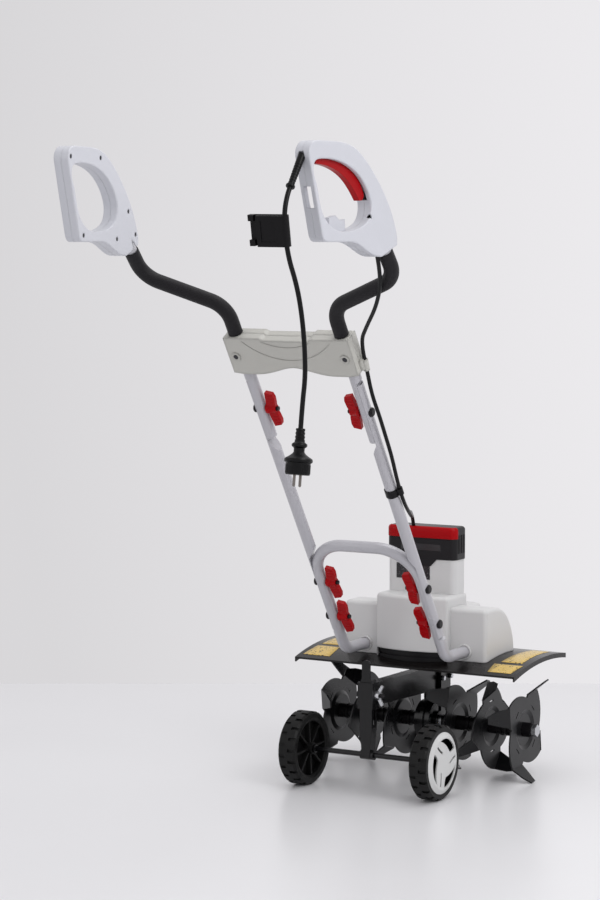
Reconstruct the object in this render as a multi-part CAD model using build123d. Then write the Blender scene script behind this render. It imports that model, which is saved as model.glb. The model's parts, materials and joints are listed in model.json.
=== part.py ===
from build123d import *
from math import atan2, cos, degrees, pi, radians, sin, sqrt, tan
import os

# Electric garden tiller. Millimetres. +X is the machine's right, +Y is the way it drives
# (away from the operator), +Z is up. While it is being modelled, Y = 0 is the tine shaft
# and Z = 0 the ground; at the end everything is moved so that the origin is the middle of
# the bottom of the box round the machine without its mains lead.

# ---- driving dimensions ----
TINE_SHAFT_Z = 96.0          # height of the tine shaft
TINE_DISC_X = (63.0, 133.0, 204.0)   # the three tine discs on each side
TINE_PHASE = (-22.0, 45.0, 0.0)      # how far each disc is turned
PLATE = 3.0                  # tine plate thickness
HUB_RADIUS = 14.0
TINE_SHAFT_RADIUS = 8.0

WORM_PITCH_RADIUS = 6.0
WORM_HALF_LENGTH = 15.0
WORM_MESH_TURN = 90.0        # turns the thread's gap, not its crest, to the wheel's tooth
WHEEL_TEETH = 32
TOOTH_MODULE = 1.5
WHEEL_PITCH_RADIUS = WHEEL_TEETH * TOOTH_MODULE / 2
MOTOR_Y = WHEEL_PITCH_RADIUS + WORM_PITCH_RADIUS     # the upright motor shaft
MOTOR_SHAFT_RADIUS = 5.0
CASING_RADIUS = 39.0         # round part of the gearbox
CASING_HALF_WIDTH = 16.0

DECK_HALF_WIDTH = 238.0
DECK_REAR_Y = -119.0
DECK_FRONT_Y = 112.0
DECK_TOP_Z = 238.0           # crown of the arched deck
DECK_CROWN_Y = 30.0
DECK_ARCH_RADIUS = 550.0
DECK_THICKNESS = 3.5

COVER_HALF_WIDTH = 154.0
COVER_REAR_Y = -68.0
COVER_FRONT_Y = 58.0
COVER_WALL = 2.5
BULGE_HALF_WIDTH = 77.0
BULGE_REAR_Y = -97.0
BULGE_FRONT_Y = 80.0
TOWER_HALF_WIDTH = 73.0
TOWER_Y = (-43.0, 7.0)
CAP_Z = (418.0, 481.0)

TUBE_RADIUS = 11.0
TUBE_WALL = 1.5
TUBE_X = 108.0               # tube centre lines, left and right
FOLD_Y, FOLD_Z = -457.0, 730.0       # the bolt that the handle folds on
LEAN = degrees(atan2(219, 341))      # tubes lean back from upright
FLAT_X = 4.0                 # pressed flat of a tube end, out from its centre line
FLAT_GAP = 0.3
OVERLAP = 62.0               # half the length where the tubes overlap at the fold bolt
LOWER_BOLTS = (-405.0, -489.0)       # along the tube from the fold bolt
HOOP_TOP = -313.5
FOOT_Z = 248.0
BOLT_RADIUS = 4.0
HINGE_CLEARANCE = 0.05

GRIP_X = 246.0
GRIP_Y = -780.0
GRIP_TOE = 6.0               # grips spread apart towards the front
GRIP_HALF_THICKNESS = 14.4
GRIP_WALL = 2.8
LOCK_BUTTON = (-60.0, 1176.0)        # forward and up, in the plane of the right grip
TRIGGER_PIVOT = (-84.0, 1168.0)
GRIP_SCREWS = [(-108, 1172), (-5, 1172), (94, 1082), (120, 1042), (-66, 1040), (52, 1034)]

WHEEL_RADIUS = 70.0
WHEEL_X = 139.0
WHEEL_HALF_WIDTH = 18.0
TREAD_LUGS = 20
AXLE_Y = -252.0
AXLE_RADIUS = 5.0
STRUT_BOLT_Z = 184.0
STRUT_TRAVEL = (-14.0, 50.0)

CORD_RADIUS = 4.0
BOOT_RADIUS = 6.2
BOOT_LENGTH = 50.0
PIN_OFFSET = 9.5             # each plug pin from the middle of the plug

# Where the mains lead hangs, from its sleeve to the plug: its exit, then each bend.
LEAD_ROUTE = [
    (230.5, -928.0, 1115.0),
    (229.4, -948.0, 1085.0),
    (228.5, -934.0, 1012.0),
    (228.5, -904.0, 962.0),
    (228.5, -888.0, 915.0),
    (228.5, -879.0, 865.0),
    (228.5, -876.5, 815.0),
    (228.5, -886.0, 772.0),
    (228.5, -891.5, 732.0),
]

# Where the motor cable runs, from the right grip down to the fold and on to the cap.
UPPER_CABLE_ROUTE = [
    (253.5, -692.4, 1025.6),
    (243.0, -650.0, 974.0),
    (213.0, -609.0, 925.0),
    (163.0, -559.0, 882.0),
    (135.0, -526.0, 858.0),
    (132.0, -497.0, 802.0),
]
LOWER_CABLE_ROUTE = [
    (132.0, -431.0, 688.0),
    (131.0, -404.0, 647.0),
    (126.0, -374.0, 600.0),
    (124.0, -344.0, 558.0),
    (104.0, -282.0, 531.0),
    (62.0, -196.0, 517.0),
    (20.0, -122.0, 514.0),
    (-7.0, -74.0, 513.0),
    (-19.0, -38.0, 492.0),
    (-21.0, -29.0, 453.0),
]
BEND_CABLE_ROUTE = [
    UPPER_CABLE_ROUTE[-1],
    (129.84, -476.12, 761.68),
    (132.9, -455.3, 724.9),
    LOWER_CABLE_ROUTE[0],
]
CABLE_RADIUS = 3.5

# ---- places worked out from them ----
SIDES = (-1, 1)


def lean_point(x, out, along):
    """World point from a place in the leaning frame whose origin is the fold bolt."""
    y = FOLD_Y - sin(radians(LEAN)) * along + cos(radians(LEAN)) * out
    z = FOLD_Z + cos(radians(LEAN)) * along + sin(radians(LEAN)) * out
    return (x, y, z)


def tube_plane(along=0.0):
    """Plane through both tubes: X across, Y up along them, Z back towards the operator."""
    back = (0, -cos(radians(LEAN)), -sin(radians(LEAN)))
    return Plane(origin=lean_point(0, 0, along), x_dir=(1, 0, 0), z_dir=back)


def grip_plane(side):
    """Plane of one grip: X forward along the grip, Y up, Z out through its outer face."""
    toe = radians(GRIP_TOE)
    return Plane(
        origin=(side * GRIP_X, GRIP_Y, 0),
        x_dir=(side * sin(toe), cos(toe), 0),
        z_dir=(cos(toe), -side * sin(toe), 0),
    )


def grip_point(side, forward, up, out=0.0):
    toe = radians(GRIP_TOE)
    x = GRIP_X + sin(toe) * forward + cos(toe) * out
    return (side * x, GRIP_Y + cos(toe) * forward - sin(toe) * out, up)


# ---- building blocks ----
def rod(start, end, radius):
    """Round bar between two points."""
    way = Vector(end) - Vector(start)
    return extrude(Plane(origin=start, z_dir=way) * Circle(radius), way.length)


def ring(start, end, outer, inner):
    return rod(start, end, outer) - rod(start, end, inner)


def block(x, y, z):
    """Box from pairs of low and high values."""
    size = (x[1] - x[0], y[1] - y[0], z[1] - z[0])
    middle = ((x[0] + x[1]) / 2, (y[0] + y[1]) / 2, (z[0] + z[1]) / 2)
    return Pos(*middle) * Box(*size)


def along_x(x0, x1, radius, y, z):
    return rod((x0, y, z), (x1, y, z), radius)


def bar_along(path, radius, bore=None):
    """Round bar along a path, or a tube if it has a bore."""
    section = Circle(radius) if bore is None else Circle(radius) - Circle(bore)
    start = Plane(origin=path @ 0, z_dir=path % 0)
    return sweep(start * section, path=path)


def cord_radii(route):
    """The largest arc that the two runs beside each bend leave room for."""
    radii = []
    for before, here, after in zip(route, route[1:], route[2:]):
        run_in = Vector(here) - Vector(before)
        run_out = Vector(after) - Vector(here)
        turn = radians(run_in.get_angle(run_out))
        radii.append(0.45 * min(run_in.length, run_out.length) / tan(turn / 2))
    return radii


def cord_tube(name, route, radius):
    path = FilletPolyline(*route, radius=cord_radii(route))
    tube = bar_along(path, radius)
    print(name, "radii", [round(r) for r in cord_radii(route)], "length", round(path.length, 1),
          "volume ratio", round(tube.volume / (pi * radius ** 2 * path.length), 4))
    return tube


def mirrored(shape):
    return mirror(shape, about=Plane.YZ)


# ---- tines and gearbox ----
def tine_outline():
    """Flat plate of one disc: four bowed cutting edges, each ending in a fold line and a notch."""
    start, bow, corner, root, notch = (60, -7), (67, 33), (52, 71), (12, 66), (7, 60)
    quarter = ThreePointArc(start, bow, corner) + Polyline(corner, root, notch)
    return make_face(Curve() + [Rot(Z=90 * index) * quarter for index in range(4)])


def tine_disc():
    """One disc square to X, centred on the origin, with its tips bent to both sides."""
    plate = extrude(Plane.YZ * tine_outline(), PLATE / 2, both=True)
    dish_radius, dish_depth = 36, 5
    plate -= along_x(-PLATE, PLATE, dish_radius + 3, 0, 0)
    profile = Polyline(
        (0, -dish_depth), (dish_radius - 3, -dish_depth), (dish_radius + 4, -PLATE / 2),
        (dish_radius + 4, PLATE / 2), (dish_radius - 4.5, PLATE - dish_depth), (0, PLATE - dish_depth),
        close=True,
    )
    dish = revolve(Plane.YX * make_face(profile), Axis.X)
    plate += dish
    fold_from, fold_to = Vector(0, 52, 71), Vector(0, 12, 66)
    tip_length, tip_bend = 41.5, 52.0
    for quarter in range(4):
        lean = radians(tip_bend) * (1 if quarter % 2 == 0 else -1)
        along_fold = (fold_from - fold_to).normalized()
        outward = Vector(0, -along_fold.Z, along_fold.Y)
        way = outward * cos(lean) + Vector(1, 0, 0) * sin(lean)
        tip_plane = Plane(origin=fold_to, x_dir=along_fold, z_dir=along_fold.cross(way))
        width = (fold_from - fold_to).length
        tip = Polyline(
            (0, -2), (width, -2), (width - 5, tip_length * 0.6), (width * 0.5 + 7, tip_length),
            (width * 0.5 - 7, tip_length), (7, tip_length * 0.55), close=True,
        )
        tip_solid = extrude(tip_plane * make_face(tip), PLATE / 2, both=True)
        tip_solid = Rot(X=90 * quarter) * tip_solid
        plate += tip_solid
        slot = Rot(X=90 * quarter + 48) * block((-8, 8), (-8, 8), (48, 50.5))
        plate -= slot
    return plate


def place_disc(disc, side, index):
    shape = disc if side > 0 else mirrored(disc)
    turned = Rot(X=TINE_PHASE[index]) * shape
    placed = Pos(side * TINE_DISC_X[index], 0, TINE_SHAFT_Z) * turned
    return placed - along_x(-250, 250, HUB_RADIUS, 0, TINE_SHAFT_Z)


def tine_hubs():
    """Ribbed sleeves that carry the discs, one on each side of the gearbox."""
    sleeves = []
    for side in SIDES:
        start, end = 29.0, 222.0
        sleeve = along_x(side * start, side * end, HUB_RADIUS - 1.5, 0, TINE_SHAFT_Z)
        for x in TINE_DISC_X:
            sleeve += along_x(side * (x - 16), side * (x + 16), HUB_RADIUS, 0, TINE_SHAFT_Z)
        for x in (40, 86, 98, 110, 156, 168, 180):
            sleeve += along_x(side * x, side * (x + 4), HUB_RADIUS + 1.5, 0, TINE_SHAFT_Z)
        sleeves.append(sleeve - along_x(side * 20, side * 230, TINE_SHAFT_RADIUS, 0, TINE_SHAFT_Z))
    return Compound(children=sleeves)


def tine_shaft():
    shaft = along_x(-226, 226, TINE_SHAFT_RADIUS, 0, TINE_SHAFT_Z)
    for side in SIDES:
        collar = along_x(side * 22.5, side * 29, 12.5, 0, TINE_SHAFT_Z)
        nut = Plane(origin=(side * 222, 0, TINE_SHAFT_Z), z_dir=(side, 0, 0)) * RegularPolygon(12, 6)
        shaft += collar + extrude(nut, 9)
    return shaft


def worm_wheel():
    """Wheel on the tine shaft, its teeth twisted to the worm's lead."""
    half_width = 3.0
    tip, root = WHEEL_PITCH_RADIUS + 1.2, WHEEL_PITCH_RADIUS - 1.9
    half_tooth = pi * TOOTH_MODULE / 4 - 0.3
    tooth = make_face(Polyline(
        (root - 1, half_tooth + 1.0), (tip, half_tooth - 0.45), (tip, 0.45 - half_tooth),
        (root - 1, -half_tooth - 1.0), close=True,
    ))
    section = Circle(root)
    for index in range(WHEEL_TEETH):
        section += Rot(Z=360 / WHEEL_TEETH * index) * tooth
    lead_shift = 2 * half_width * TOOTH_MODULE / (2 * WORM_PITCH_RADIUS)
    twist = degrees(lead_shift / WHEEL_PITCH_RADIUS)
    gear = Solid.extrude_linear_with_rotation(
        section.faces()[0], center=(0, 0, 0), normal=(0, 0, 2 * half_width), angle=twist)
    gear = Pos(-half_width, 0, 0) * Rot(Y=90) * Rot(Z=90 - twist / 2) * gear
    gear = Part() + gear + along_x(-9, 9, 15, 0, 0)
    gear = Pos(0, 0, TINE_SHAFT_Z) * gear
    return gear - along_x(-20, 20, TINE_SHAFT_RADIUS, 0, TINE_SHAFT_Z)


def rotor_shaft():
    """Motor shaft with its single-start worm beside the wheel."""
    lead = pi * TOOTH_MODULE
    core = WORM_PITCH_RADIUS - 1.9
    low, high = TINE_SHAFT_Z - WORM_HALF_LENGTH, TINE_SHAFT_Z + WORM_HALF_LENGTH
    shaft = rod((0, 0, 65), (0, 0, high + 3), core)
    shaft += rod((0, 0, high + 3), (0, 0, 321), MOTOR_SHAFT_RADIUS)
    path = Helix(pitch=lead, height=2 * WORM_HALF_LENGTH - 4, radius=core)
    half_root, half_tip = lead / 4 + 0.25, lead / 4 - 0.75
    reach = 3.1
    thread = make_face(Polyline(
        (-0.6, -half_root), (reach, -half_tip), (reach, half_tip), (-0.6, half_root), close=True))
    section = Plane(origin=(core, 0, 0), x_dir=(1, 0, 0), z_dir=(0, 1, 0)) * thread
    worm = sweep(section, path=path, is_frenet=True)
    tooth_turn = 360 * ((WORM_HALF_LENGTH - 2) / lead % 1)
    shaft += Pos(0, 0, low + 2) * Rot(Z=WORM_MESH_TURN - tooth_turn) * worm
    return Pos(0, MOTOR_Y, 0) * shaft


def gearbox_half(side):
    """One cast half: round casing, upright neck round the worm, flange under the deck."""
    inner = 0.0
    neck_y = (MOTOR_Y - 21, MOTOR_Y + 19)
    half = along_x(inner, side * CASING_HALF_WIDTH, CASING_RADIUS, 0, TINE_SHAFT_Z)
    half += along_x(inner, side * 4, CASING_RADIUS + 4, 0, TINE_SHAFT_Z)
    half += along_x(inner, side * 22, 19, 0, TINE_SHAFT_Z)
    x_range = sorted((inner, side * 19.0))
    half += block(x_range, neck_y, (58, 226))
    rim = sorted((inner, side * 4.0))
    half += block(rim, (neck_y[0] - 5, neck_y[1] + 5), (130, 226))
    flange = sorted((inner, side * 32.0))
    half += block(flange, (MOTOR_Y - 30, MOTOR_Y + 30), (226, 233.4))
    for y in (neck_y[0] + 4, neck_y[1] - 4):
        for z in (150, 178, 206):
            half += along_x(inner, side * 21.0, 5, y, z)
    half -= along_x(-10, 10, 28, 0, TINE_SHAFT_Z)
    half -= along_x(-30, 30, 12, 0, TINE_SHAFT_Z)
    worm_bore = rod((0, MOTOR_Y, 78), (0, MOTOR_Y, 260), 11)
    half -= worm_bore + rod((0, MOTOR_Y, 50), (0, MOTOR_Y, 80), 9)
    for y in (neck_y[0] + 4, neck_y[1] - 4):
        for z in (150, 178, 206):
            half -= along_x(-30, 30, 2.6, y, z)
    return half


def shaft_bushes():
    """Bronze bushes: two for the tine shaft, two for the lower motor shaft."""
    bushes = []
    running = TINE_SHAFT_RADIUS + HINGE_CLEARANCE
    for side in SIDES:
        bushes.append(ring((side * 11, 0, TINE_SHAFT_Z), (side * 22, 0, TINE_SHAFT_Z), 12, running))
    worm_core = WORM_PITCH_RADIUS - 1.9
    bushes.append(ring((0, MOTOR_Y, 66), (0, MOTOR_Y, 76), 9, worm_core + HINGE_CLEARANCE))
    bushes.append(ring((0, MOTOR_Y, 214), (0, MOTOR_Y, 228), 11, MOTOR_SHAFT_RADIUS + HINGE_CLEARANCE))
    return Compound(children=bushes)


def stator():
    packet = ring((0, MOTOR_Y, 250), (0, MOTOR_Y, 296), 36, 25.6)
    for x in (-31, 31):
        packet += Pos(x, MOTOR_Y, 0) * block((-3, 3), (-14, 14), (246, 297))
    return packet


def rotor_core():
    """Wound armature with its commutator, pressed on the shaft."""
    packet = ring((0, MOTOR_Y, 252), (0, MOTOR_Y, 294), 25, MOTOR_SHAFT_RADIUS)
    for index in range(12):
        turn = radians(30 * index)
        x, y = 25 * cos(turn), MOTOR_Y + 25 * sin(turn)
        packet -= rod((x, y, 250), (x, y, 296), 1.6)
    return packet + ring((0, MOTOR_Y, 294), (0, MOTOR_Y, 305), 11, MOTOR_SHAFT_RADIUS)


def cooling_fan():
    fan = ring((0, MOTOR_Y, 306), (0, MOTOR_Y, 307.5), 30, MOTOR_SHAFT_RADIUS)
    fan += ring((0, MOTOR_Y, 306), (0, MOTOR_Y, 312), 9, MOTOR_SHAFT_RADIUS)
    for index in range(10):
        turn = Rot(Z=36 * index)
        fan += Pos(0, MOTOR_Y, 0) * turn * block((8, 30), (-0.8, 0.8), (307, 312.5))
    return fan


def brush_gear():
    """Two carbon brushes and, over the fan, the bridge that holds the top bush."""
    running = MOTOR_SHAFT_RADIUS + HINGE_CLEARANCE
    bridge = Pos(0, MOTOR_Y, 0) * block((-41, 41), (-7, 7), (314, 320))
    bridge += ring((0, MOTOR_Y, 314), (0, MOTOR_Y, 321), 11, running)
    bridge -= rod((0, MOTOR_Y, 300), (0, MOTOR_Y, 330), running)
    for side in SIDES:
        bridge += Pos(0, MOTOR_Y, 0) * block(sorted((side * 37, side * 41)), (-7, 7), (262, 315))
        bridge += Pos(0, MOTOR_Y, 0) * block(sorted((side * 11.4, side * 38)), (-4, 4), (297.5, 303.5))
    return bridge


def machine_screws():
    """Screws that hold the gearbox halves together and the gearbox under the deck."""
    screws = []
    neck_y = (MOTOR_Y - 21, MOTOR_Y + 19)
    for y in (neck_y[0] + 4, neck_y[1] - 4):
        for z in (150, 178, 206):
            screw = along_x(-22, 22, 2.5, y, z) + along_x(21, 25, 4.4, y, z)
            screws.append(screw + along_x(-25, -21, 4.4, y, z))
    return Compound(children=screws)


# ---- deck and covers ----
def deck_shell(radius_out, radius_in, half_width, y):
    """Arched sheet between two radii about the deck's centre of curvature."""
    centre_z = DECK_TOP_Z - DECK_ARCH_RADIUS
    arch = ring((-half_width, DECK_CROWN_Y, centre_z), (half_width, DECK_CROWN_Y, centre_z),
                radius_out, radius_in)
    return arch & block((-half_width, half_width), y, (100, 400))


def deck():
    """Arched tine guard with a turned-down edge at both ends."""
    y = (DECK_REAR_Y, DECK_FRONT_Y)
    sheet = deck_shell(DECK_ARCH_RADIUS, DECK_ARCH_RADIUS - 9, DECK_HALF_WIDTH, y)
    inside = deck_shell(DECK_ARCH_RADIUS - DECK_THICKNESS, DECK_ARCH_RADIUS - 20,
                        DECK_HALF_WIDTH - 3, (-200, 200))
    return sheet - inside - rod((0, MOTOR_Y, 200), (0, MOTOR_Y, 260), 14)


def under_cover(shape, gap=0.4):
    """Cut a shape off where the deck is."""
    centre_z = DECK_TOP_Z - DECK_ARCH_RADIUS
    return shape - along_x(-400, 400, DECK_ARCH_RADIUS + gap, DECK_CROWN_Y, centre_z)


def rounded_tower(grow, z):
    """Upright box with rounded corners, the tower's section made larger by grow."""
    half_y = (TOWER_Y[1] - TOWER_Y[0]) / 2 + grow
    middle_y = (TOWER_Y[1] + TOWER_Y[0]) / 2
    section = RectangleRounded(2 * (TOWER_HALF_WIDTH + grow), 2 * half_y, 11 + grow)
    return Pos(0, middle_y, z[0]) * extrude(section, z[1] - z[0])


def cover_body(inset):
    """Outside of the motor cover, or its inside when it is inset by the wall."""
    side_profile = make_face(
        Polyline((COVER_FRONT_Y - inset, 190), (COVER_REAR_Y + inset, 190),
                 (COVER_REAR_Y + inset, 331 - inset), (-28, 331 - inset))
        + Spline((-28, 331 - inset), (38 - inset, 298 - inset), (COVER_FRONT_Y - inset, 235),
                 tangents=((1, 0), (0, -1)))
        + Line((COVER_FRONT_Y - inset, 235), (COVER_FRONT_Y - inset, 190)))
    wings = extrude(Plane.YZ * side_profile, COVER_HALF_WIDTH - inset, both=True)
    rims = [edge for edge in wings.edges()
            if abs(abs(edge.center().X) - COVER_HALF_WIDTH + inset) < 0.1 and edge.center().Z > 192]
    rims += wings.edges().filter_by(Axis.X).filter_by(
        lambda edge: edge.center().Z > 300 and edge.center().Y < -50)
    wings = fillet(rims, 8)
    rear, front = BULGE_REAR_Y + inset, BULGE_FRONT_Y - inset
    half = BULGE_HALF_WIDTH - inset
    plan = make_face(
        ThreePointArc((-half, rear + 17), (0, rear), (half, rear + 17))
        + Line((half, rear + 17), (half, 0)) + Line((half, 0), (-half, 0))
        + Line((-half, 0), (-half, rear + 17)))
    bulge = extrude(Pos(0, 0, 190) * plan, 352 - inset - 190)
    bulge = fillet(bulge.edges().filter_by(Axis.Z).group_by(Axis.Y)[0], 6)
    bulge = fillet(bulge.faces().sort_by(Axis.Z)[-1].outer_wire().edges().filter_by(
        lambda edge: edge.center().Y < -20), 8)
    nose_plan = make_face(
        ThreePointArc((-half, front - 15), (0, front), (half, front - 15))
        + Line((half, front - 15), (half, 0)) + Line((half, 0), (-half, 0))
        + Line((-half, 0), (-half, front - 15)))
    nose = extrude(Pos(0, 0, 190) * nose_plan, 325 - inset - 190)
    nose = fillet(nose.edges().filter_by(Axis.Z).group_by(Axis.Y)[-1], 6)
    nose = fillet(nose.faces().sort_by(Axis.Z)[-1].outer_wire().edges().filter_by(
        lambda edge: edge.center().Y > 5), 8)
    tower = rounded_tower(-inset, (200, 470))
    shoulder = Pos(0, (TOWER_Y[0] + TOWER_Y[1]) / 2, 320) * extrude(
        RectangleRounded(2 * (TOWER_HALF_WIDTH + 5 - inset), TOWER_Y[1] - TOWER_Y[0] + 14 - 2 * inset, 14),
        30 - inset, taper=8)
    return wings + bulge + nose + tower + shoulder


def motor_cover():
    """Light grey moulded cover: wide wings, a bulge over the motor and the tower behind."""
    cover = cover_body(0) - cover_body(COVER_WALL)
    cover -= block((-200, 200), (-200, 200), (CAP_Z[0], 600))
    cover -= block((-BULGE_HALF_WIDTH + 1, BULGE_HALF_WIDTH - 1), (-120, -62), (150, 245))
    for side in SIDES:
        cover -= rod((side * TUBE_X, -90, FOOT_Z), (side * TUBE_X, -50, FOOT_Z), 14)
    return under_cover(cover)


def cable_hole():
    """Room for the motor cable where it drops through the top of the cap."""
    inside, above = Vector(*LOWER_CABLE_ROUTE[-1]), Vector(*LOWER_CABLE_ROUTE[-2])
    beyond = above + (above - inside) * 0.2
    return rod(inside, beyond, CABLE_RADIUS + 1.2)


def vent_cap():
    """Charcoal cap on the tower with air slots, a cable hole and a tab at the back."""
    middle_y = (TOWER_Y[0] + TOWER_Y[1]) / 2
    cap = rounded_tower(1.5, CAP_Z)
    cap = fillet(cap.edges().group_by(Axis.Z)[-1], 6)
    cap = fillet(cap.edges().group_by(Axis.Z)[0], 1.5)
    cap -= rounded_tower(-2.0, (CAP_Z[0] - 1, CAP_Z[1] - 4))
    back = TOWER_Y[0] - 1.5
    cap -= block((-200, 200), (back - 5, back + 1.2), (457, 474)) & rounded_tower(2, CAP_Z)
    for side in SIDES:
        for index in range(5):
            y = middle_y - 14 + 7 * index
            cap -= block(sorted((side * 60, side * 90)), (y, y + 3.5), (430, 466))
    cap -= block((-44, 44), (back - 1, back + 0.8), (434, 448))
    tab = make_face(Polyline((-16, 0), (36, 0), (22, -14), (-2, -14), close=True))
    cap += extrude(Plane(origin=(0, back + 1.3, CAP_Z[0] + 1), x_dir=(1, 0, 0), z_dir=(0, -1, 0)) * tab, 2)
    cap -= cable_hole()
    return cap


def accent_band():
    """Red strip let into the back of the cap, wrapping round its rear corners."""
    back = TOWER_Y[0] - 1.5
    band = rounded_tower(2.2, (457.3, 473.7)) - rounded_tower(-3, (450, 480))
    band = band & block((-200, 200), (-100, back + 1.0), (400, 500))
    sides = rounded_tower(2.4, (457.3, 473.7)) - rounded_tower(1.55, (450, 480))
    sides = sides & block((-200, 200), (-100, TOWER_Y[0] + 14), (400, 500))
    band += sides
    return band - cable_hole()


def base_plate():
    """Black tray between deck and cover that carries the motor and shows under the bulge."""
    half = BULGE_HALF_WIDTH - 3.5
    rear = BULGE_REAR_Y + 4
    plan = make_face(
        ThreePointArc((-half, rear + 17), (0, rear), (half, rear + 17))
        + Line((half, rear + 17), (half, 56)) + Line((half, 56), (-half, 56))
        + Line((-half, 56), (-half, rear + 17)))
    tray = extrude(Pos(0, 0, 200) * plan, 44.7)
    groove = extrude(Pos(0, 0, 233) * plan, 3) - extrude(Pos(0, 0, 233) * scale(plan, by=(0.96, 0.97, 1)), 3)
    tray -= groove & block((-200, 200), (-200, -60), (200, 260))
    tray -= rod((0, MOTOR_Y, 200), (0, MOTOR_Y, 260), 14)
    return under_cover(tray, gap=0.1)


# ---- handle frame ----
def leaning_block(side, x_from, x_to, low, high, slope_low=0.0, slope_high=0.0):
    """Trapezoid across a tube in the leaning frame; its x_from face is longer by the slopes."""
    outline = Polyline(
        (x_from, low), (x_to, low - slope_low), (x_to, high + slope_high), (x_from, high), close=True)
    shape = extrude(tube_plane() * make_face(outline), 40, both=True)
    return shape if side > 0 else mirrored(shape)


def inner_flat(side, shape, low, high, wall=0.0):
    """Take away the outer side of a tube so that it ends in a flat."""
    x = TUBE_X + FLAT_X - wall
    return shape - leaning_block(side, x, x + 12, low, high, 7, 7)


def outer_flat(side, shape, low, high, slope_low, slope_high, wall=0.0):
    """Take away the inner side of a tube so that a half-round end is left outside."""
    x = TUBE_X + FLAT_X + FLAT_GAP + wall
    return shape - leaning_block(side, x, x - 15.5, low, high, -slope_low, -slope_high)


def cross_bolt_hole(along, radius):
    start = lean_point(-200, 0, along)
    return rod(start, (200, start[1], start[2]), radius)


def handle_hoop():
    """Steel hoop: two feet in the cover, two legs and a bar across the top."""
    foot_turn = (FOLD_Z - FOOT_Z) / cos(radians(LEAN))
    corner_y = lean_point(0, 0, -foot_turn)[1]
    route = []
    for side in SIDES:
        half = [(side * TUBE_X, COVER_REAR_Y + 44, FOOT_Z), (side * TUBE_X, corner_y, FOOT_Z),
                lean_point(side * TUBE_X, 0, HOOP_TOP)]
        route += half if side < 0 else half[::-1]
    path = FilletPolyline(*route, radius=(34, 72, 72, 34))
    outside = bar_along(path, TUBE_RADIUS)
    inside = bar_along(path, TUBE_RADIUS - TUBE_WALL)
    for side in SIDES:
        outside = inner_flat(side, outside, -522, -330)
        inside = inner_flat(side, inside, -522, -330, TUBE_WALL)
    hoop = outside - inside
    for along in LOWER_BOLTS:
        hoop -= cross_bolt_hole(along, BOLT_RADIUS + 0.2)
    return hoop


def mid_tube(side):
    """Straight tube from the hoop to the fold, pressed half-round at both ends."""
    low, high = LOWER_BOLTS[1] - 29, OVERLAP
    start = lean_point(side * TUBE_X, 0, low)
    end = lean_point(side * TUBE_X, 0, high)
    tube = rod(start, end, TUBE_RADIUS)
    bore = rod(start, end, TUBE_RADIUS - TUBE_WALL)
    cuts = ((low - 5, -346, 0, -26), (-OVERLAP - 6, high + 5, -26, 0))
    for low_end, high_end, slope_low, slope_high in cuts:
        tube = outer_flat(side, tube, low_end, high_end, slope_low, slope_high)
        bore = outer_flat(side, bore, low_end, high_end, slope_low, slope_high, TUBE_WALL)
    tube -= bore
    for along in (*LOWER_BOLTS, 0.0):
        tube -= cross_bolt_hole(along, BOLT_RADIUS + 0.1)
        head = lean_point(side * (TUBE_X + 8.4), 0, along)
        tube -= rod(head, (side * (TUBE_X + 20), head[1], head[2]), 8.6)
    return tube


def upper_path(side, low):
    route = [
        lean_point(side * TUBE_X, 0, low),
        lean_point(side * TUBE_X, 0, 221),
        lean_point(side * 254, -9, 290),
        grip_point(side, 80.6, 1062),
    ]
    return FilletPolyline(*route, radius=(48, 48))


def upper_tube(side):
    """Bent tube from the fold bolt up into the grip."""
    path = upper_path(side, -OVERLAP)
    outside = bar_along(path, TUBE_RADIUS)
    inside = bar_along(path, TUBE_RADIUS - TUBE_WALL)
    outside = inner_flat(side, outside, -OVERLAP - 10, OVERLAP + 4)
    inside = inner_flat(side, inside, -OVERLAP - 10, OVERLAP + 4, TUBE_WALL)
    tube = outside - inside
    return tube - cross_bolt_hole(0, BOLT_RADIUS + HINGE_CLEARANCE)


def grip_sleeves():
    """Foam sleeves over the upper tubes, from the brace to the grips."""
    sleeves = []
    for side in SIDES:
        route = [
            lean_point(side * TUBE_X, 0, 165),
            lean_point(side * TUBE_X, 0, 221),
            lean_point(side * 254, -9, 290),
        ]
        end = Vector(*grip_point(side, 80.6, 1062))
        way = (end - Vector(*route[-1])).normalized()
        stop = Vector(*route[-1]) + way * 58
        path = FilletPolyline(*route, stop, radius=(48, 48))
        sleeve = bar_along(path, TUBE_RADIUS + 2.2, TUBE_RADIUS)
        sleeves.append(sleeve)
    return Compound(children=sleeves)


def joint_bolts():
    """Bolts through the tube joints and the strut bolt, heads on the outside."""
    bolts = []
    for side in SIDES:
        for along in (*LOWER_BOLTS, 0.0):
            inner = lean_point(side * 72, 0, along)
            seat = lean_point(side * (TUBE_X + 8.5), 0, along)
            outer = lean_point(side * (TUBE_X + 14.5), 0, along)
            bolt = rod(inner, seat, BOLT_RADIUS)
            head = rod(seat, outer, 8.5)
            rim = [edge for edge in head.edges() if abs(edge.center().X - outer[0]) < 0.1]
            bolts.append(bolt + fillet(rim, 3))
    bolts.append(along_x(-16, 32, BOLT_RADIUS, AXLE_Y, STRUT_BOLT_Z) + along_x(
        -21, -16, 7.5, AXLE_Y, STRUT_BOLT_Z))
    return Compound(children=bolts)


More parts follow.
